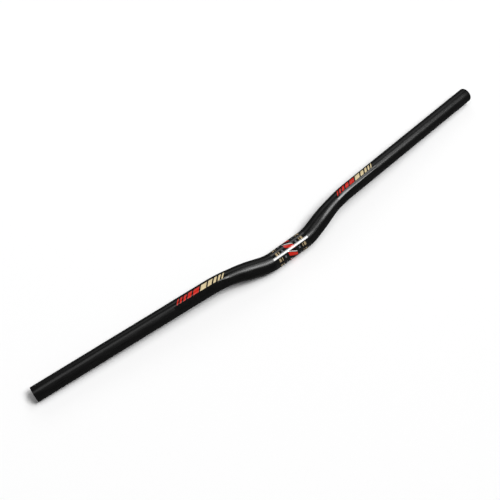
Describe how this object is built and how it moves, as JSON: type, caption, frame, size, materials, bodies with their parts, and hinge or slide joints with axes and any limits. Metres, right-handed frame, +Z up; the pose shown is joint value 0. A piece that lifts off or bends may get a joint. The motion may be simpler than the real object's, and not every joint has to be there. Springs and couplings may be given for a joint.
{
  "type": "mountain bike handlebar",
  "caption": "Hollow riser handlebar: a tube bent twice on each side, thick at the stem clamp and tapered to straight grip ends swept back.",
  "frame": {"origin": "middle of the stem clamp, on its axis", "axes": "+X along the clamp axis to the rider's left; +Y towards the swept ends as the bar lies front side up; +Z up from the surface that it lies on. Turned by 54.1 degrees about +X it is in its riding setting, with +Y to the rear of the bike and +Z to the sky."},
  "size_m": [0.782, 0.065, 0.0344],
  "materials": {
    "satin_black": "satin black coat over moulded carbon composite",
    "gloss_film": "clear glossy film with printed stripes, round the clamp and on both bends"
  },
  "bodies": {
    "root": {"handlebar": "satin_black"}
  },
  "joints": []
}
